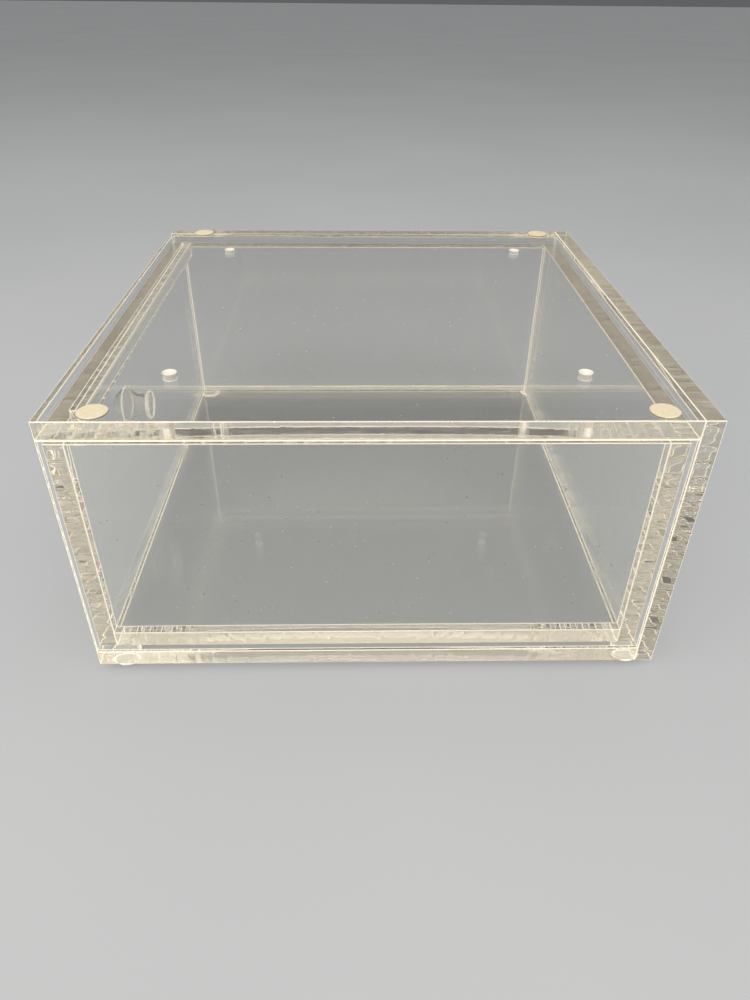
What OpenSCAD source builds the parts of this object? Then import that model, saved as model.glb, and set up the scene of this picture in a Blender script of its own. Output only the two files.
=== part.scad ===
// Clear display case for a small football: a fixed shell of thick acrylic
// sheet, and a clear tray that slides out of its open left side on a round
// pull knob. Four bumper feet below, four soft pads and four holes on top.
// Millimetres. +X right (away from the knob), +Y back, +Z up; the origin is
// the middle of the whole object's footprint, at the bottom of the feet.

/* [Case] */
// Outside width and depth of the shell
case_w = 304.8; // [240:0.1:420]
// Outside height of the shell, without the feet
case_h = 151; // [110:0.5:240]
// Thickness of every thick sheet
sheet = 9.5; // [6:0.5:12]
// Thickness of the thin front pane
pane = 3.2; // [2:0.1:6]

/* [Holes in the top plate] */
// Diameter of each hole
hole_d = 6.5; // [3:0.1:12]
// Distance from each outside face to a hole's centre
hole_inset = 50; // [25:1:80]

/* [Tray] */
// How far the tray's front stands in from the shell's open side
recess = 0.5; // [0:0.1:3]
// Gap between the shut tray and the walls behind and beside it
tray_gap = 1; // [0.5:0.1:3]
// Gap between the tray and the front pane
pane_gap = 2.8; // [1:0.1:6]
// Running gap under the tray
floor_gap = 0.3; // [0.3:0.1:1]
// Gap between the tray's wall tops and the top plate
lid_gap = 4.5; // [2:0.1:10]

/* [Stop bar] */
// Width of the bar under the top plate
bar_w = 6.4; // [4:0.1:12]
// Depth the bar hangs down
bar_drop = 9.5; // [6:0.5:16]
// Gap from the bar's front end to the case's outside
bar_front = 17; // [17:0.5:40]
// Gap from the bar's back end to the case's outside
bar_back = 24; // [22:0.5:40]

/* [Pull knob] */
// Diameter of the rim, where the dome begins
knob_d = 24; // [21:0.1:36]
// Diameter of the waist
knob_neck_d = 14; // [9:0.5:14]
// Diameter of the base flange
knob_base_d = 18.5; // [14:0.1:30]
// How far the knob stands out from the tray
knob_len = 24; // [22:0.5:32]
// Height of the knob's domed face above its rim
knob_crown = 7.9; // [4:0.1:9]
// Wall thickness of the hollow knob
knob_wall = 1.5; // [1:0.1:2]
// How far the knob's axis lies above the tray's middle
knob_up = 3.2; // [-20:0.1:20]
// How far the knob's axis lies in front of the tray's middle
knob_fore = 2.5; // [-40:0.5:40]

/* [Feet and pads] */
// Diameter of a bumper foot
foot_d = 15.9; // [8:0.1:16.8]
// Height of a bumper foot
foot_h = 6; // [3:0.5:10]
// Distance from each side face to a foot's centre
foot_inset = 13.5; // [9:0.5:40]
// Diameter of a pad on the top
pad_d = 14; // [8:0.5:16]
// Thickness of a pad on the top
pad_h = 0.9; // [0.5:0.1:2]
// Distance from each side face to a pad's centre
pad_inset = 25; // [12:0.5:40]
// Distance of feet and pads from the front and back faces
row_inset = 8.4; // [8.4:0.1:30]

/* [Hidden] */
$fn = 64;
x0 = -(case_w + recess - knob_len) / 2;
x1 = x0 + case_w;
y0 = -case_w / 2;
y1 = case_w / 2;
z0 = foot_h;
z1 = z0 + case_h;
// Inside faces of the shell
in_x1 = x1 - sheet;
in_y1 = y1 - sheet;
in_z0 = z0 + sheet;
in_z1 = z1 - sheet;
hole_spacing = case_w - 2 * hole_inset;
cut = 1;
// Outside faces of the tray
tx0 = x0 + recess;
tx1 = in_x1 - tray_gap;
ty0 = y0 + pane + pane_gap;
ty1 = in_y1 - tray_gap;
tz0 = in_z0 + floor_gap;
tz1 = in_z1 - lid_gap;
// The bar stands this far behind the tray's front panel
bar_x = tx0 + sheet + 1;
// Knob profile: rounded lips of the base flange and the rim, and the
// trumpet flare between waist and rim
base_lip = 1;
rim_lip = 0.8;
neck_start = 3.5;
flare_start = 6.5;
flare_r = 7.75;
flare_reach = 0.25;
arc_steps = 8;
pad_round = 0.4;
foot_skirt = 1.6;

// A sheet panel given by its two opposite corners
module panel(lo, hi) {
    translate(lo)
        cube(hi - lo);
}

// A round button standing on z = 0: a short straight skirt under a dome
module dome(d, h, skirt) {
    crown = h - skirt;
    ball_r = (d * d / 4 + crown * crown) / (2 * crown);
    intersection() {
        translate([0, 0, h - ball_r])
            sphere(r = ball_r);
        cylinder(h = h, d = d);
    }
}

// Points of an arc of radius r about c, from angle a to angle b
function arc(c, r, a, b) = [
    for (i = [0 : arc_steps])
        let (t = a + (b - a) * i / arc_steps)
        [c[0] + r * cos(t), c[1] + r * sin(t)]
];

// Half of the knob's wall: radius across, distance from the tray up
neck_r = knob_neck_d / 2;
bore_r = neck_r - knob_wall;
face_r = knob_d / 2 - rim_lip;
crown_r = (face_r * face_r + knob_crown * knob_crown) / (2 * knob_crown);
crown_mid = [0, knob_len - crown_r];
crown_a = asin(face_r / crown_r);
inner_r = crown_r - knob_wall;
inner_a = asin((face_r - knob_wall + 0.1) / inner_r);
flare_mid = [neck_r + flare_r, flare_start];
flare_a = 180 - acos((flare_mid[0] - face_r - flare_reach) / flare_r);
inner_flare_a = 180 - acos((flare_mid[0] - face_r + knob_wall) / (flare_r + knob_wall));
knob_outline = concat(
    [[bore_r, 0]],
    arc([knob_base_d / 2 - base_lip, base_lip], base_lip, -90, 90),
    [[neck_r, neck_start]],
    arc(flare_mid, flare_r, 180, flare_a),
    arc([face_r, knob_len - knob_crown - rim_lip], rim_lip, -60, 90),
    arc(crown_mid, crown_r, 90 - crown_a, 90),
    arc(crown_mid, inner_r, 90, 90 - inner_a),
    arc(flare_mid, flare_r + knob_wall, inner_flare_a, 180)
);

// Half of a pad's outline, with a softly rounded upper edge
pad_outline = concat(
    [[0, 0], [pad_d / 2, 0]],
    arc([pad_d / 2 - pad_round, pad_h - pad_round], pad_round, 0, 90),
    [[0, pad_h]]
);

// Fixed shell

module top_plate() {
    color([0.95, 0.94, 0.88, 0.3])
        difference() {
            panel([x0, y0, in_z1], [in_x1, in_y1, z1]);
            for (ix = [0, 1], iy = [0, 1])
                translate([
                    x0 + hole_inset + ix * hole_spacing,
                    y0 + hole_inset + iy * hole_spacing,
                    in_z1 - cut
                ])
                    cylinder(h = sheet + 2 * cut, d = hole_d);
        }
}

module base_plate() {
    color([0.95, 0.94, 0.88, 0.3])
        panel([x0, y0, z0], [in_x1, in_y1, in_z0]);
}

module right_wall() {
    color([0.95, 0.94, 0.88, 0.3])
        panel([in_x1, y0, z0], [x1, y1, z1]);
}

module back_wall() {
    color([0.95, 0.94, 0.88, 0.3])
        panel([x0, in_y1, z0], [in_x1, y1, z1]);
}

module front_pane() {
    color([0.95, 0.94, 0.88, 0.3])
        panel([x0, y0, in_z0], [in_x1, y0 + pane, in_z1]);
}

// Catches the tray's rear wall before the tray can leave the shell
module stop_bar() {
    color([0.95, 0.94, 0.88, 0.3])
        panel([bar_x, y0 + bar_front, in_z1 - bar_drop], [bar_x + bar_w, y1 - bar_back, in_z1]);
}

// A bumper foot; sx and sy choose the corner
module foot(sx, sy) {
    cx = (x0 + x1) / 2 + sx * (case_w / 2 - foot_inset);
    cy = sy * (case_w / 2 - row_inset);
    color([0.93, 0.93, 0.90, 0.5])
        translate([cx, cy, z0])
            mirror([0, 0, 1])
                dome(foot_d, foot_h, foot_skirt);
}

// A soft pad on the top; sx and sy choose the corner
module pad(sx, sy) {
    cx = (x0 + x1) / 2 + sx * (case_w / 2 - pad_inset);
    cy = sy * (case_w / 2 - row_inset);
    color([0.95, 0.90, 0.76])
        translate([cx, cy, z1])
            rotate_extrude()
                polygon(pad_outline);
}

module foot_front_left() foot(-1, -1);
module foot_front_right() foot(1, -1);
module foot_back_left() foot(-1, 1);
module foot_back_right() foot(1, 1);
module pad_front_left() pad(-1, -1);
module pad_front_right() pad(1, -1);
module pad_back_left() pad(-1, 1);
module pad_back_right() pad(1, 1);

// Sliding tray

module tray_front() {
    color([0.95, 0.94, 0.88, 0.3])
        panel([tx0, ty0, tz0], [tx0 + sheet, ty1, tz1]);
}

module tray_rear() {
    color([0.95, 0.94, 0.88, 0.3])
        panel([tx1 - sheet, ty0, tz0], [tx1, ty1, tz1]);
}

module tray_floor() {
    color([0.95, 0.94, 0.88, 0.3])
        panel([tx0 + sheet, ty0, tz0], [tx1 - sheet, ty1, tz0 + sheet]);
}

module tray_side_near() {
    color([0.95, 0.94, 0.88, 0.3])
        panel([tx0 + sheet, ty0, tz0 + sheet], [tx1 - sheet, ty0 + sheet, tz1]);
}

module tray_side_far() {
    color([0.95, 0.94, 0.88, 0.3])
        panel([tx0 + sheet, ty1 - sheet, tz0 + sheet], [tx1 - sheet, ty1, tz1]);
}

module pull_knob() {
    color([0.96, 0.96, 0.93, 0.4])
        translate([tx0, (ty0 + ty1) / 2 - knob_fore, (tz0 + tz1) / 2 + knob_up])
            rotate([0, -90, 0])
                rotate_extrude()
                    polygon(knob_outline);
}

top_plate();
base_plate();
right_wall();
back_wall();
front_pane();
stop_bar();
foot_front_left();
foot_front_right();
foot_back_left();
foot_back_right();
pad_front_left();
pad_front_right();
pad_back_left();
pad_back_right();
tray_front();
tray_rear();
tray_side_near();
tray_side_far();
tray_floor();
pull_knob();
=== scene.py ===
"""Clear display case with a slide-out tray, dressed around the CAD frame."""

import math

import bmesh
import bpy
from mathutils import Matrix, Vector


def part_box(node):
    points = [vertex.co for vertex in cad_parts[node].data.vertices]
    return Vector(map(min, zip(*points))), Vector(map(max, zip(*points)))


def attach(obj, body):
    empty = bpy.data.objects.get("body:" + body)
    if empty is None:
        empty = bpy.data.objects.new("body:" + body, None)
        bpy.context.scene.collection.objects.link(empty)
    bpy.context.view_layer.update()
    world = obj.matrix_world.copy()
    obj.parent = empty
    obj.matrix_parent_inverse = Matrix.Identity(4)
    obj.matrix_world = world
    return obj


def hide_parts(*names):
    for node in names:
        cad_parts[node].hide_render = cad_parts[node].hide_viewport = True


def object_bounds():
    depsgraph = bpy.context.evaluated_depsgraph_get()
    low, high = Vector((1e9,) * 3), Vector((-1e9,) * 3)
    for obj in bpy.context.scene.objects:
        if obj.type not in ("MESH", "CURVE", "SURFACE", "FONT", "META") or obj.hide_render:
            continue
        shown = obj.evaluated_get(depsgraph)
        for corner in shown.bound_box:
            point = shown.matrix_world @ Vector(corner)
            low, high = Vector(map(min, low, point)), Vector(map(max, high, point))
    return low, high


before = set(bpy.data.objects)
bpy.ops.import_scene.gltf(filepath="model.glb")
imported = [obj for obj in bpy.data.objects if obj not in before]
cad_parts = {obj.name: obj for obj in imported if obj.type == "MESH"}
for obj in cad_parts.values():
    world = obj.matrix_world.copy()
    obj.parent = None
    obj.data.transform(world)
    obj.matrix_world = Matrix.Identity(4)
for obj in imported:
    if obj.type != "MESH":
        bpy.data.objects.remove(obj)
cad_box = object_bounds()

SHELL_SHEETS = ["top_plate", "base_plate", "right_wall", "back_wall", "front_pane", "stop_bar"]
TRAY_SHEETS = ["tray_front", "tray_rear", "tray_side_near", "tray_side_far", "tray_floor"]
CORNERS = [(row, side) for row in ("front", "back") for side in ("left", "right")]

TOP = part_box("top_plate")
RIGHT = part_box("right_wall")
CASE_W = RIGHT[1][0] - TOP[0][0]

# Sizes that the frame's boxes don't give, in metres
HOLE_R = 0.00325
HOLE_INSET = 0.050
ARRIS_W = 0.00038  # width of a sheet's softened corners
BITE = 0.00005  # how deep a stuck-on piece sinks into its sheet, so that no faces coincide

ACRYLIC_IOR = 1.49
# Strengths of painted glow: constant emission on softened corners and drilled holes, in place of
# gathered light
ARRIS_PAINTED_GLOW = 0.46
BORE_PAINTED_GLOW = 0.30
RIPPLE_SCALE = 34.0

# How the edges of a sheet look. clarity is the share of light let through; saw, swell and
# ripple are the heights of saw marks, slow waves and sharp crests; rough is the roughness
# between the marks and in them; dark is the tint in them; the last value is painted glow,
# a constant emission standing in for the light the sheet gathers and lets out of its edge.
EDGE_LOOKS = {
    "sawn": dict(
        clarity=0.93, saw=0.22, swell=0.6, ripple=0.4,
        rough=(0.01, 0.14), dark=(0.50, 0.42, 0.29), painted_glow=0.045,
    ),
    "polished": dict(
        clarity=0.93, saw=0.12, swell=0.6, ripple=0.2,
        rough=(0.0, 0.10), dark=(0.84, 0.77, 0.63), painted_glow=0.20,
    ),
    "clear": dict(
        clarity=0.99, saw=0.012, swell=0.40, ripple=0.45,
        rough=(0.0, 0.02), dark=(0.84, 0.77, 0.64), painted_glow=0.01,
    ),
    "lid": dict(
        clarity=0.98, saw=0.05, swell=0.10, ripple=0.05,
        rough=(0.0, 0.04), dark=(0.80, 0.73, 0.60), painted_glow=0.04,
    ),
}
EDGE_KINDS = list(EDGE_LOOKS)


# ---------------------------------------------------------------- node helpers

def new_material(name):
    mat = bpy.data.materials.new(name)
    mat.use_nodes = True
    return mat, mat.node_tree, mat.node_tree.nodes["Principled BSDF"]


def clear_plastic(name, clarity, ior=ACRYLIC_IOR):
    """A new see-through material that lets the given share of light in."""
    mat, tree, shader = new_material(name)
    shader.inputs["Transmission Weight"].default_value = clarity
    shader.inputs["IOR"].default_value = ior
    return mat, tree, shader


def painted_glow(shader, colour, strength):
    """Painted glow: constant emission that stands in for light the plastic gathers over its whole
    volume and lets out here.
    """
    shader.inputs["Emission Color"].default_value = (*colour, 1.0)
    shader.inputs["Emission Strength"].default_value = strength


def node(tree, kind, **values):
    """A new node with the given values in its input sockets."""
    n = tree.nodes.new(kind)
    for socket, value in values.items():
        n.inputs[socket].default_value = value
    return n


def position(tree, scale=(1.0, 1.0, 1.0), rotation=(0.0, 0.0, 0.0)):
    coords = tree.nodes.new("ShaderNodeTexCoord")
    mapping = node(tree, "ShaderNodeMapping", Scale=scale, Rotation=rotation)
    tree.links.new(coords.outputs["Object"], mapping.inputs["Vector"])
    return mapping.outputs["Vector"]


def noise(tree, vector, scale, detail=3.0, roughness=0.5):
    n = node(tree, "ShaderNodeTexNoise", Scale=scale, Detail=detail, Roughness=roughness)
    tree.links.new(vector, n.inputs["Vector"])
    return n.outputs["Fac"]


def ramp(tree, value, stops):
    """A colour ramp through (position, grey or colour) stops."""
    r = tree.nodes.new("ShaderNodeValToRGB")
    while len(r.color_ramp.elements) < len(stops):
        r.color_ramp.elements.new(0.5)
    for element, (at, colour) in zip(r.color_ramp.elements, stops):
        element.position = at
        if not isinstance(colour, tuple):
            colour = (colour, colour, colour)
        element.color = (*colour, 1.0)
    tree.links.new(value, r.inputs["Fac"])
    return r.outputs["Color"]


def math_node(tree, operation, a, b):
    m = tree.nodes.new("ShaderNodeMath")
    m.operation = operation
    for socket, value in zip(m.inputs, (a, b)):
        if isinstance(value, (int, float)):
            socket.default_value = value
        else:
            tree.links.new(value, socket)
    return m.outputs[0]


def scaled(tree, value, factor):
    return math_node(tree, "MULTIPLY", value, factor)


def colour_from(tree, shader, value, stops):
    tree.links.new(ramp(tree, value, stops), shader.inputs["Base Color"])


def roughness_from(tree, shader, value, stops):
    tree.links.new(ramp(tree, value, stops), shader.inputs["Roughness"])


def bump(tree, shader, height, strength, distance):
    b = node(tree, "ShaderNodeBump", Strength=strength, Distance=distance)
    tree.links.new(height, b.inputs["Height"])
    tree.links.new(b.outputs["Normal"], shader.inputs["Normal"])


def let_lamps_through(mat, tree, shader, share):
    """Lamps shine through the clear plastic onto what is behind it, dimmed to the given share."""
    out = tree.nodes["Material Output"]
    rays = tree.nodes.new("ShaderNodeLightPath")
    clear = node(tree, "ShaderNodeBsdfTransparent", Color=(share, share, share, 1.0))
    mix = tree.nodes.new("ShaderNodeMixShader")
    tree.links.new(rays.outputs["Is Shadow Ray"], mix.inputs[0])
    tree.links.new(shader.outputs[0], mix.inputs[1])
    tree.links.new(clear.outputs[0], mix.inputs[2])
    tree.links.new(mix.outputs[0], out.inputs["Surface"])
    return mat


# ------------------------------------------------------------------- materials

# Direction of each set of hairline scratches, and how much finer it is across than along
HAIRLINES = ((0.35, 52.5), (-0.8, 42.5), (1.25, 65.0))
SCRATCH_ROUGH = 0.14
SPECK_ROUGH = 0.55
SPECK_CELLS = 130.0
SPECK_R = 0.055  # as a share of a cell
SPECKLESS = 0.55  # share of the cells without a speck


def hairlines(tree, angle, stretch):
    """Fine scratches in one direction: 1 on a scratch, 0 beside it."""
    turned_by = (angle, angle * 0.6, angle)
    hair = noise(tree, position(tree, (1.0, stretch, 1.0), turned_by), 34.0, 2.0)
    return ramp(tree, hair, ((0.715, 0.0), (0.735, 1.0)))


def specks(tree):
    """Scattered round specks: 1 on a speck, 0 beside it."""
    cells = node(tree, "ShaderNodeTexVoronoi", Scale=SPECK_CELLS)
    tree.links.new(position(tree), cells.inputs["Vector"])
    near = math_node(tree, "LESS_THAN", cells.outputs["Distance"], SPECK_R)
    pick = tree.nodes.new("ShaderNodeSeparateColor")
    tree.links.new(cells.outputs["Color"], pick.inputs[0])
    chosen = math_node(tree, "GREATER_THAN", pick.outputs[0], SPECKLESS)
    return math_node(tree, "MULTIPLY", near, chosen)


def face_material():
    """Polished sheet face: all but clear, with hairline scratches and a few specks."""
    mat, tree, shader = clear_plastic("acrylic_face", 1.0)
    first, second, third = [hairlines(tree, angle, stretch) for angle, stretch in HAIRLINES]
    scratch = math_node(tree, "MAXIMUM", math_node(tree, "MAXIMUM", first, second), third)
    cloud = noise(tree, position(tree), 14.0, 3.0)
    haze = ramp(tree, cloud, ((0.45, 0.0), (0.75, 0.018)))
    scratch_rough = scaled(tree, scratch, SCRATCH_ROUGH)
    speck_rough = scaled(tree, specks(tree), SPECK_ROUGH)
    marks = math_node(tree, "ADD", scratch_rough, speck_rough)
    tree.links.new(math_node(tree, "ADD", haze, marks), shader.inputs["Roughness"])
    colour_from(tree, shader, cloud, ((0.3, (1.0, 0.999, 0.992)), (0.8, (0.995, 0.993, 0.982))))
    swell = noise(tree, position(tree), 9.0, 1.0)
    height = math_node(tree, "ADD", swell, scaled(tree, scratch, -0.02))
    bump(tree, shader, height, 0.10, 0.0006)
    return let_lamps_through(mat, tree, shader, 1.0)


def edge_material(axis, kind):
    """Sheet edge of one of the EDGE_LOOKS, with marks that follow one another along the axis."""
    look = EDGE_LOOKS[kind]
    name = "acrylic_edge_%s_%s" % (kind, "xyz"[axis])
    mat, tree, shader = clear_plastic(name, look["clarity"])
    # Painted glow: constant warm emission on the edge in place of light the sheet gathers
    painted_glow(shader, (1.0, 0.90, 0.68), look["painted_glow"])
    stretch = [0.06, 0.06, 0.06]
    stretch[axis] = 1.0
    marks = noise(tree, position(tree, stretch), 900.0, 3.0, 0.6)
    waves = noise(tree, position(tree, [s * 2.0 for s in stretch]), 60.0, 2.0)
    ripple = node(tree, "ShaderNodeTexWave", Scale=RIPPLE_SCALE, Distortion=2.2, Detail=1.5)
    ripple.bands_direction = "XYZ"[axis]
    tree.links.new(position(tree), ripple.inputs["Vector"])
    crest = math_node(tree, "POWER", ripple.outputs["Fac"], 4.0)
    saw = scaled(tree, marks, look["saw"])
    height = math_node(tree, "ADD", saw, scaled(tree, waves, look["swell"]))
    height = math_node(tree, "ADD", height, scaled(tree, crest, look["ripple"]))
    bump(tree, shader, height, 0.8, 0.0012)
    low, high = look["rough"]
    roughness_from(tree, shader, marks, ((0.38, low), (0.66, high)))
    colour_from(tree, shader, marks, ((0.36, (1.0, 0.98, 0.92)), (0.60, look["dark"])))
    return let_lamps_through(mat, tree, shader, 0.96)


def arris_material():
    """Softened corner of a sheet, with a painted glow: constant emission that draws a bright line
    in place of gathered light.
    """
    mat, tree, shader = clear_plastic("acrylic_arris", 0.70)
    painted_glow(shader, (1.0, 0.93, 0.76), ARRIS_PAINTED_GLOW)
    nicks = noise(tree, position(tree), 700.0, 3.0)
    roughness_from(tree, shader, nicks, ((0.35, 0.08), (0.70, 0.30)))
    colour_from(tree, shader, nicks, ((0.30, (1.0, 0.97, 0.88)), (0.75, (0.92, 0.85, 0.70))))
    bump(tree, shader, nicks, 0.3, 0.0002)
    return let_lamps_through(mat, tree, shader, 0.94)


def bore_material():
    """Drilled hole wall, frosted by fine rings from the bit, with a painted glow that brightens
    it.
    """
    mat, tree, shader = clear_plastic("acrylic_bore", 0.55)
    painted_glow(shader, (1.0, 0.95, 0.84), BORE_PAINTED_GLOW)
    rings = noise(tree, position(tree, (0.3, 0.3, 1.0)), 2600.0, 2.0)
    roughness_from(tree, shader, rings, ((0.3, 0.32), (0.7, 0.55)))
    colour_from(tree, shader, rings, ((0.3, (1.0, 0.98, 0.93)), (0.7, (0.93, 0.90, 0.82))))
    bump(tree, shader, rings, 0.6, 0.0002)
    return let_lamps_through(mat, tree, shader, 0.8)


def joint_material():
    """Cemented joint: the two sheets are one piece of clear plastic here."""
    mat = bpy.data.materials.new("acrylic_joint")
    mat.use_nodes = True
    tree = mat.node_tree
    tree.nodes.clear()
    out = tree.nodes.new("ShaderNodeOutputMaterial")
    clear = tree.nodes.new("ShaderNodeBsdfTransparent")
    cloud = noise(tree, position(tree), 160.0, 3.0)
    tint = ramp(tree, cloud, ((0.35, (1.0, 0.998, 0.99)), (0.75, (0.96, 0.955, 0.93))))
    tree.links.new(tint, clear.inputs["Color"])
    tree.links.new(clear.outputs[0], out.inputs["Surface"])
    return mat


def moulding_material(name, ior, clarity, light, flow_scale, rough, tints):
    """Moulded clear plastic with a faint uneven flow, fine surface grain and a painted glow."""
    mat, tree, shader = clear_plastic(name, clarity, ior)
    # Painted glow of the given light strength: constant emission, not light from the lamps
    painted_glow(shader, (1.0, 0.96, 0.88), light)
    flow = noise(tree, position(tree), flow_scale, 3.0)
    roughness_from(tree, shader, flow, ((0.35, rough[0]), (0.70, rough[1])))
    colour_from(tree, shader, flow, ((0.30, tints[0]), (0.75, tints[1])))
    bump(tree, shader, flow, 0.15, 0.0003)
    return let_lamps_through(mat, tree, shader, 0.93)


def pad_material():
    """Cream translucent pad: dense fine cells under a dull skin."""
    mat, tree, shader = new_material("pad_foam")
    shader.inputs["Subsurface Weight"].default_value = 0.6
    shader.inputs["Subsurface Radius"].default_value = (0.9, 0.7, 0.45)
    shader.inputs["Subsurface Scale"].default_value = 0.003
    shader.inputs["IOR"].default_value = 1.42
    cells = node(tree, "ShaderNodeTexVoronoi", Scale=2600.0)
    tree.links.new(position(tree), cells.inputs["Vector"])
    cloud = noise(tree, position(tree), 380.0, 4.0)
    mixed = math_node(tree, "ADD", scaled(tree, cells.outputs["Distance"], 0.4), cloud)
    colour_from(tree, shader, mixed, ((0.35, (0.70, 0.59, 0.43)), (0.85, (0.82, 0.73, 0.57))))
    roughness_from(tree, shader, cloud, ((0.3, 0.42), (0.7, 0.60)))
    bump(tree, shader, mixed, 0.35, 0.0002)
    return mat


FACE = face_material()
EDGES = [edge_material(axis, kind) for kind in EDGE_KINDS for axis in range(3)]
BORE = bore_material()
ARRIS = arris_material()
JOINT = joint_material()
# light is a painted glow: constant emission that lifts the clear knob and feet
KNOB = moulding_material(
    "knob_clear", ior=1.49, clarity=0.985, light=0.008, flow_scale=70.0,
    rough=(0.0, 0.04), tints=((1.0, 0.995, 0.98), (0.985, 0.98, 0.95)),
)
FOOT = moulding_material(
    "foot_clear", ior=1.45, clarity=0.92, light=0.05, flow_scale=240.0,
    rough=(0.04, 0.12), tints=((1.0, 0.99, 0.96), (0.95, 0.94, 0.90)),
)
PAD = pad_material()

# A sheet's material slots: its face, three directions of each kind of edge, then the rest
SHEET_MATERIALS = [FACE, *EDGES, BORE, JOINT, ARRIS]
FACE_AT, EDGES_AT = 0, 1
BORE_AT, JOINT_AT, ARRIS_AT = [1 + len(EDGES) + k for k in range(3)]


# ---------------------------------------------------------------------- sheets

TOUCHING = 2e-5
LEAST_OVERLAP = 1e-4
LEAST_CUT_INSET = 1e-3
ON_PLANE = 1e-5
INSIDE = 1e-6
FLAT_ENOUGH = 0.99  # cosine between a flat face's normal and its axis


def contacts(name, others):
    """Rectangles where this sheet is cemented to another: (axis, low corner, high corner)."""
    lo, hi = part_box(name)
    found = []
    for other in others:
        if other == name:
            continue
        other_lo, other_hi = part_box(other)
        for axis in range(3):
            for mine, theirs in ((lo[axis], other_hi[axis]), (hi[axis], other_lo[axis])):
                if abs(mine - theirs) > TOUCHING:
                    continue
                low = [max(lo[i], other_lo[i]) for i in range(3)]
                high = [min(hi[i], other_hi[i]) for i in range(3)]
                low[axis] = high[axis] = mine
                if all(high[i] - low[i] > LEAST_OVERLAP for i in range(3) if i != axis):
                    found.append((axis, low, high))
    return found


def mesh_from(bm, name):
    """Turns the bmesh into a mesh and frees it."""
    mesh = bpy.data.meshes.new(name)
    bm.to_mesh(mesh)
    bm.free()
    return mesh


def add_object(name, data):
    obj = bpy.data.objects.new(name, data)
    bpy.context.scene.collection.objects.link(obj)
    return obj


def box_mesh(name, lo, hi):
    bm = bmesh.new()
    bmesh.ops.create_cube(bm, size=1.0)
    for v in bm.verts:
        v.co = Vector([(lo[i] + hi[i]) / 2 + v.co[i] * (hi[i] - lo[i]) for i in range(3)])
    return mesh_from(bm, name)


def bake(obj):
    """Applies the object's modifiers to its mesh."""
    depsgraph = bpy.context.evaluated_depsgraph_get()
    mesh = bpy.data.meshes.new_from_object(obj.evaluated_get(depsgraph))
    obj.modifiers.clear()
    obj.data = mesh


def drill(obj, centres, lo_z, hi_z):
    """Cuts plain round holes through the sheet."""
    for x, y in centres:
        bm = bmesh.new()
        bmesh.ops.create_cone(
            bm, cap_ends=True, segments=48, radius1=HOLE_R, radius2=HOLE_R,
            depth=1.2 * (hi_z - lo_z),
        )
        bmesh.ops.translate(bm, verts=bm.verts, vec=(x, y, (lo_z + hi_z) / 2))
        bit = add_object("bit", mesh_from(bm, "bit"))
        cut = obj.modifiers.new("drill", "BOOLEAN")
        cut.object = bit
        cut.operation = "DIFFERENCE"
        cut.solver = "EXACT"
        bake(obj)
        bpy.data.objects.remove(bit)


def soften(obj):
    """Takes the sharpness off every corner of the sheet."""
    arris = obj.modifiers.new("soften", "BEVEL")
    arris.width = ARRIS_W
    arris.segments = 2
    arris.limit_method = "ANGLE"
    arris.angle_limit = math.radians(40)
    bake(obj)


def split_at_joints(bm, lo, hi, glued):
    """Cuts the sheet's faces along the borders of its cemented areas."""
    for axis, low, high in glued:
        for i in range(3):
            if i == axis:
                continue
            normal = Vector([float(i == j) for j in range(3)])
            for at in (low[i], high[i]):
                if lo[i] + LEAST_CUT_INSET < at < hi[i] - LEAST_CUT_INSET:
                    bmesh.ops.bisect_plane(
                        bm, geom=bm.verts[:] + bm.edges[:] + bm.faces[:], dist=1e-7,
                        plane_co=normal * at, plane_no=normal,
                    )


def edge_kind(name, main, thin):
    """The kind of an edge that faces the main axis, on a sheet that is thin along another."""
    if name == "top_plate":
        return "lid"
    if main == 2:
        return "sawn"
    return "polished" if thin == 2 else "clear"


def slot_of(face, name, size, glued, holes):
    """The material slot of one face of a sheet."""
    centre = face.calc_center_median()
    normal = face.normal
    main = max(range(3), key=lambda i: abs(normal[i]))
    across = [i for i in range(3) if i != main]
    for axis, low, high in glued:
        on_plane = main == axis and abs(centre[axis] - low[axis]) < ON_PLANE
        if on_plane and all(low[i] - INSIDE < centre[i] < high[i] + INSIDE for i in across):
            return JOINT_AT
    if any(math.hypot(centre.x - x, centre.y - y) < 1.02 * HOLE_R for x, y in holes):
        return BORE_AT
    if abs(normal[main]) < FLAT_ENOUGH:
        return ARRIS_AT
    thin = min(range(3), key=lambda i: size[i])
    if main == thin:
        return FACE_AT
    along = max((i for i in across if i != thin), key=lambda i: size[i])
    return EDGES_AT + 3 * EDGE_KINDS.index(edge_kind(name, main, thin)) + along


def sheet(name, body, members, holes=()):
    """A cut sheet with softened corners; its cemented areas become joint faces."""
    lo, hi = [Vector(c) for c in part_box(name)]
    obj = add_object(name + "_sheet", box_mesh(name + "_sheet", lo, hi))
    if holes:
        drill(obj, holes, lo.z, hi.z)
    soften(obj)
    for mat in SHEET_MATERIALS:
        obj.data.materials.append(mat)
    glued = contacts(name, members)
    bm = bmesh.new()
    bm.from_mesh(obj.data)
    split_at_joints(bm, lo, hi, glued)
    for face in bm.faces:
        face.material_index = slot_of(face, name, hi - lo, glued, holes)
    bm.to_mesh(obj.data)
    bm.free()
    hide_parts(name)
    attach(obj, body)


HOLES = [
    (x, y)
    for x in (TOP[0][0] + HOLE_INSET, TOP[0][0] + CASE_W - HOLE_INSET)
    for y in (RIGHT[0][1] + HOLE_INSET, RIGHT[1][1] - HOLE_INSET)
]
for name in SHELL_SHEETS:
    sheet(name, "shell", SHELL_SHEETS, HOLES if name == "top_plate" else ())
for name in TRAY_SHEETS:
    sheet(name, "tray", TRAY_SHEETS)


# ------------------------------------------------------- knob, feet and pads

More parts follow.
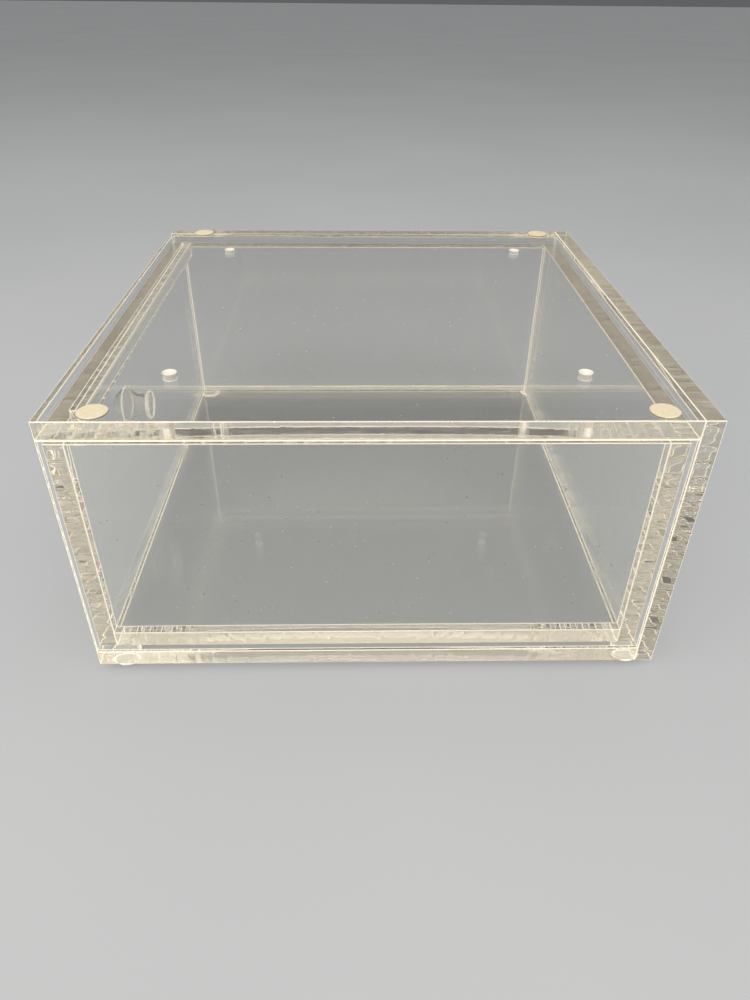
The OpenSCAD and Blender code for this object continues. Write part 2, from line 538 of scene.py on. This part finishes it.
# The columns of the turn that lays a turned piece's own axis, its Z, where it points
UPWARDS = (Vector((1, 0, 0)), Vector((0, 1, 0)), Vector((0, 0, 1)))
DOWNWARDS = (Vector((1, 0, 0)), Vector((0, -1, 0)), Vector((0, 0, -1)))
OUTWARDS = (Vector((0, 1, 0)), Vector((0, 0, -1)), Vector((-1, 0, 0)))


def ring(bm, radius, height, segments):
    """A ring of vertices about Z, or a single one on the axis."""
    if radius < 1e-7:
        return [bm.verts.new((0, 0, height))]
    turns = [2 * math.pi * k / segments for k in range(segments)]
    return [bm.verts.new((radius * math.cos(t), radius * math.sin(t), height)) for t in turns]


def turned(name, profile, segments=96):
    """A solid of revolution about Z from an outline of (radius, height) points."""
    bm = bmesh.new()
    rings = [ring(bm, radius, height, segments) for radius, height in profile]
    for a, b in zip(rings, rings[1:]):
        for k in range(segments):
            quad = [a[k % len(a)], a[(k + 1) % len(a)], b[(k + 1) % len(b)], b[k % len(b)]]
            corners = list(dict.fromkeys(quad))
            if len(corners) > 2:
                bm.faces.new(corners)
    bmesh.ops.remove_doubles(bm, verts=bm.verts[:], dist=1e-7)
    bmesh.ops.recalc_face_normals(bm, faces=bm.faces[:])
    mesh = mesh_from(bm, name)
    mesh.polygons.foreach_set("use_smooth", [True] * len(mesh.polygons))
    mesh.update()
    return add_object(name, mesh)


def arc(centre, radius, start, end, steps=8):
    """Points of an arc about the centre, from one angle to another in degrees."""
    angles = [math.radians(start + (end - start) * k / steps) for k in range(steps + 1)]
    return [(centre[0] + radius * math.cos(a), centre[1] + radius * math.sin(a)) for a in angles]


def place(obj, columns, origin):
    """Turns the mesh by the given columns and moves its origin to the given point."""
    for v in obj.data.vertices:
        x, y, z = v.co
        v.co = origin + columns[0] * x + columns[1] * y + columns[2] * z
    obj.data.update()


def paint_lip_glow(obj, is_lip):
    """Gives the polygons on a lip, by their radius and height, the corner material, whose painted
    glow draws a bright ring.
    """
    obj.data.materials.append(ARRIS)
    for polygon in obj.data.polygons:
        centre = polygon.center
        polygon.material_index = int(is_lip(math.hypot(centre.x, centre.y), centre.z))


def foot_piece(corner):
    """Domed bumper foot with a short skirt."""
    name = "foot_%s_%s" % corner
    lo, hi = [Vector(c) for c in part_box(name)]
    radius = (hi.x - lo.x) / 2 - 0.00005
    height = hi.z - lo.z + BITE
    lip, skirt, dome_start = 0.0005, 0.0014, 0.0017
    dome = height - dome_start
    dome_r = (radius * radius + dome * dome) / (2 * dome)
    half = math.degrees(math.asin((radius - lip * 0.4) / dome_r))
    profile = [(0, 0), (radius - lip, 0)]
    profile += arc((radius - lip, lip), lip, -90, 0, 4) + [(radius, skirt)]
    profile += arc((0, height - dome_r), dome_r, 90 - half, 90, 18)[:-1] + [(0, height)]
    obj = turned(name + "_bumper", profile)
    obj.data.materials.append(FOOT)
    # Painted bright ring: the skirt's lip gets the corner material's painted glow
    paint_lip_glow(obj, lambda r, z: z < 2 * lip and r > radius - 2 * lip)
    place(obj, DOWNWARDS, Vector(((lo.x + hi.x) / 2, (lo.y + hi.y) / 2, hi.z + BITE)))
    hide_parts(name)
    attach(obj, "shell")


def pad_piece(corner):
    """Thin round pad with a soft rim and a slightly dished top."""
    name = "pad_%s_%s" % corner
    lo, hi = [Vector(c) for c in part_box(name)]
    radius = (hi.x - lo.x) / 2 - 0.0001
    height = hi.z - lo.z + BITE
    soft = 0.00035
    dish = 0.00012
    profile = [(0, 0), (radius - 0.0001, 0)]
    profile += arc((radius - soft, height - soft), soft, 0, 90, 6)
    profile += [(radius * 0.8, height - dish * 0.5), (radius * 0.5, height - dish)]
    profile += [(0, height - dish)]
    obj = turned(name + "_disc", profile)
    place(obj, UPWARDS, Vector(((lo.x + hi.x) / 2, (lo.y + hi.y) / 2, lo.z - BITE)))
    obj.data.materials.append(PAD)
    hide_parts(name)
    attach(obj, "shell")


def knob_piece():
    """Hollow knob: base flange, waist, trumpet flare, rim and domed face."""
    lo, hi = [Vector(c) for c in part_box("pull_knob")]
    length = hi.x - lo.x + BITE
    wall, lip, rim_lip, crown = 0.0015, 0.001, 0.0008, 0.0079
    base_r, neck_r, rim_r = 0.00925, 0.0070, (hi.y - lo.y) / 2
    neck_z, flare_z, rim_z = 0.0035, 0.0065, length - crown - rim_lip
    flare_r, flare_reach = 0.00775, 0.00025
    flare_x = neck_r + flare_r
    face_r = rim_r - rim_lip
    dome_r = (face_r * face_r + crown * crown) / (2 * crown)
    dome_z = length - dome_r
    dome_half = math.degrees(math.asin(face_r / dome_r))
    inner_r = dome_r - wall
    inner_half = math.degrees(math.asin((face_r - wall + 0.0001) / inner_r))
    flare_end = 180 - math.degrees(math.acos((flare_x - face_r - flare_reach) / flare_r))
    inner_end = 180 - math.degrees(math.acos((flare_x - face_r + wall) / (flare_r + wall)))
    profile = [(neck_r - wall, 0)]
    profile += arc((base_r - lip, lip), lip, -90, 90, 10)
    profile += [(neck_r + 0.0009, 2 * lip + 0.0002), (neck_r + 0.0002, 2 * lip + 0.0007)]
    profile += [(neck_r, neck_z)]
    profile += arc((flare_x, flare_z), flare_r, 180, flare_end, 16)
    profile += arc((face_r, rim_z), rim_lip, -60, 90, 10)
    profile += arc((0, dome_z), dome_r, 90 - dome_half, 90, 24)[1:-1] + [(0, length)]
    profile += [(0, length - wall)] + arc((0, dome_z), inner_r, 90, 90 - inner_half, 24)[1:]
    profile += arc((flare_x, flare_z), flare_r + wall, inner_end, 180, 16)
    profile += [(neck_r - wall, 0)]
    obj = turned("pull_knob_turned", profile, 128)
    obj.data.materials.append(KNOB)

    # Flange and rim lips get the corner material's painted glow, as painted bright rings
    def is_lip(r, z):
        on_flange = z < 2 * lip + 1e-5 and r > base_r - lip
        return on_flange or (abs(z - rim_z) < rim_lip and r > rim_r - 0.0003)

    paint_lip_glow(obj, is_lip)
    place(obj, OUTWARDS, Vector((hi.x + BITE, (lo.y + hi.y) / 2, (lo.z + hi.z) / 2)))
    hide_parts("pull_knob")
    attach(obj, "tray")


for corner in CORNERS:
    foot_piece(corner)
    pad_piece(corner)
knob_piece()


# ------------------------------------------------------------ floor and lights

FLOOR_HALF = 20.0
FLOOR_DROP = 0.0002  # how far the floor lies below the feet
AIM = (0, 0, 0.1)


def floor_piece():
    mat, tree, shader = new_material("floor_plain")
    cloud = noise(tree, position(tree), 2.0, 3.0)
    colour_from(tree, shader, cloud, ((0.3, (0.45, 0.49, 0.55)), (0.7, (0.48, 0.52, 0.58))))
    grain = noise(tree, position(tree), 500.0, 2.0)
    roughness_from(tree, shader, grain, ((0.3, 0.80), (0.7, 0.90)))
    corners = [(-1, -1), (1, -1), (1, 1), (-1, 1)]
    mesh = bpy.data.meshes.new("floor")
    mesh.from_pydata([(FLOOR_HALF * x, FLOOR_HALF * y, 0) for x, y in corners], [], [(0, 1, 2, 3)])
    mesh.materials.append(mat)
    obj = add_object("floor", mesh)
    obj.location.z = cad_box[0][2] - FLOOR_DROP


def softbox(name, location, size, power, colour):
    """A rectangular lamp that lights the case without showing in it as a mirror image."""
    light = bpy.data.lights.new(name, "AREA")
    light.shape = "RECTANGLE"
    light.size, light.size_y = size
    light.energy = power
    light.color = colour
    obj = add_object(name, light)
    obj.location = location
    obj.visible_glossy = False
    obj.visible_transmission = False
    obj.rotation_euler = (Vector(AIM) - Vector(location)).to_track_quat("-Z", "Y").to_euler()


def studio_world():
    """Soft surroundings: dim behind, warm and bright in front and above, with one hot spot."""
    world = bpy.data.worlds.new("studio")
    bpy.context.scene.world = world
    world.use_nodes = True
    tree = world.node_tree
    coords = tree.nodes.new("ShaderNodeTexCoord")
    split = tree.nodes.new("ShaderNodeSeparateXYZ")
    tree.links.new(coords.outputs["Generated"], split.inputs[0])
    front = scaled(tree, split.outputs["Y"], -0.45)
    above = scaled(tree, split.outputs["Z"], 0.55)
    sky = ramp(tree, math_node(tree, "ADD", front, above), (
        (0.0, (0.20, 0.20, 0.21)),
        (0.22, (0.34, 0.33, 0.32)),
        (0.45, (0.92, 0.86, 0.76)),
        (0.670, (1.05, 0.98, 0.88)),
        (0.685, (3.4, 3.2, 2.9)),
    ))
    tree.links.new(sky, tree.nodes["Background"].inputs["Color"])
    tree.nodes["Background"].inputs["Strength"].default_value = 0.6


floor_piece()
studio_world()
softbox("key", (-0.9, -1.6, 1.9), (2.4, 1.8), 46, (1.0, 0.93, 0.80))
softbox("overhead", (0.3, -0.2, 2.2), (1.2, 1.2), 14, (1.0, 0.93, 0.82))


# ---------------------------------------------------------------------- camera

YAW, PITCH, ROLL = 0.0240, 0.6098, 0.0100
LENS_OVER_HEIGHT = 0.7338
SENSOR = 36.0
EYE = (0.4699, -0.9230, 0.5082)  # in case widths, from the top plate's front left corner


def add_camera():
    forward = Vector((
        math.sin(YAW) * math.cos(PITCH),
        math.cos(YAW) * math.cos(PITCH),
        -math.sin(PITCH),
    ))
    level = Vector((math.cos(YAW), -math.sin(YAW), 0))
    upright = level.cross(forward)
    right = math.cos(ROLL) * level + math.sin(ROLL) * upright
    up = -math.sin(ROLL) * level + math.cos(ROLL) * upright
    camera = bpy.data.cameras.new("camera")
    camera.sensor_width = SENSOR
    camera.lens = SENSOR * LENS_OVER_HEIGHT
    eye = add_object("camera", camera)
    eye.location = Vector((TOP[0][0], TOP[0][1], TOP[1][2])) + Vector(EYE) * CASE_W
    columns = (right, up, -forward)
    turn = [[column[row] for column in columns] for row in range(3)]
    eye.rotation_euler = Matrix(turn).to_euler()
    bpy.context.scene.camera = eye


add_camera()

# Light passes many sheets, and is reflected many times inside one, before it is lost
cycles = bpy.context.scene.cycles
cycles.max_bounces = 48
cycles.transmission_bounces = 32
cycles.glossy_bounces = 40
cycles.transparent_max_bounces = 64
cycles.caustics_refractive = False
cycles.caustics_reflective = False
bpy.context.scene.view_settings.view_transform = "Standard"
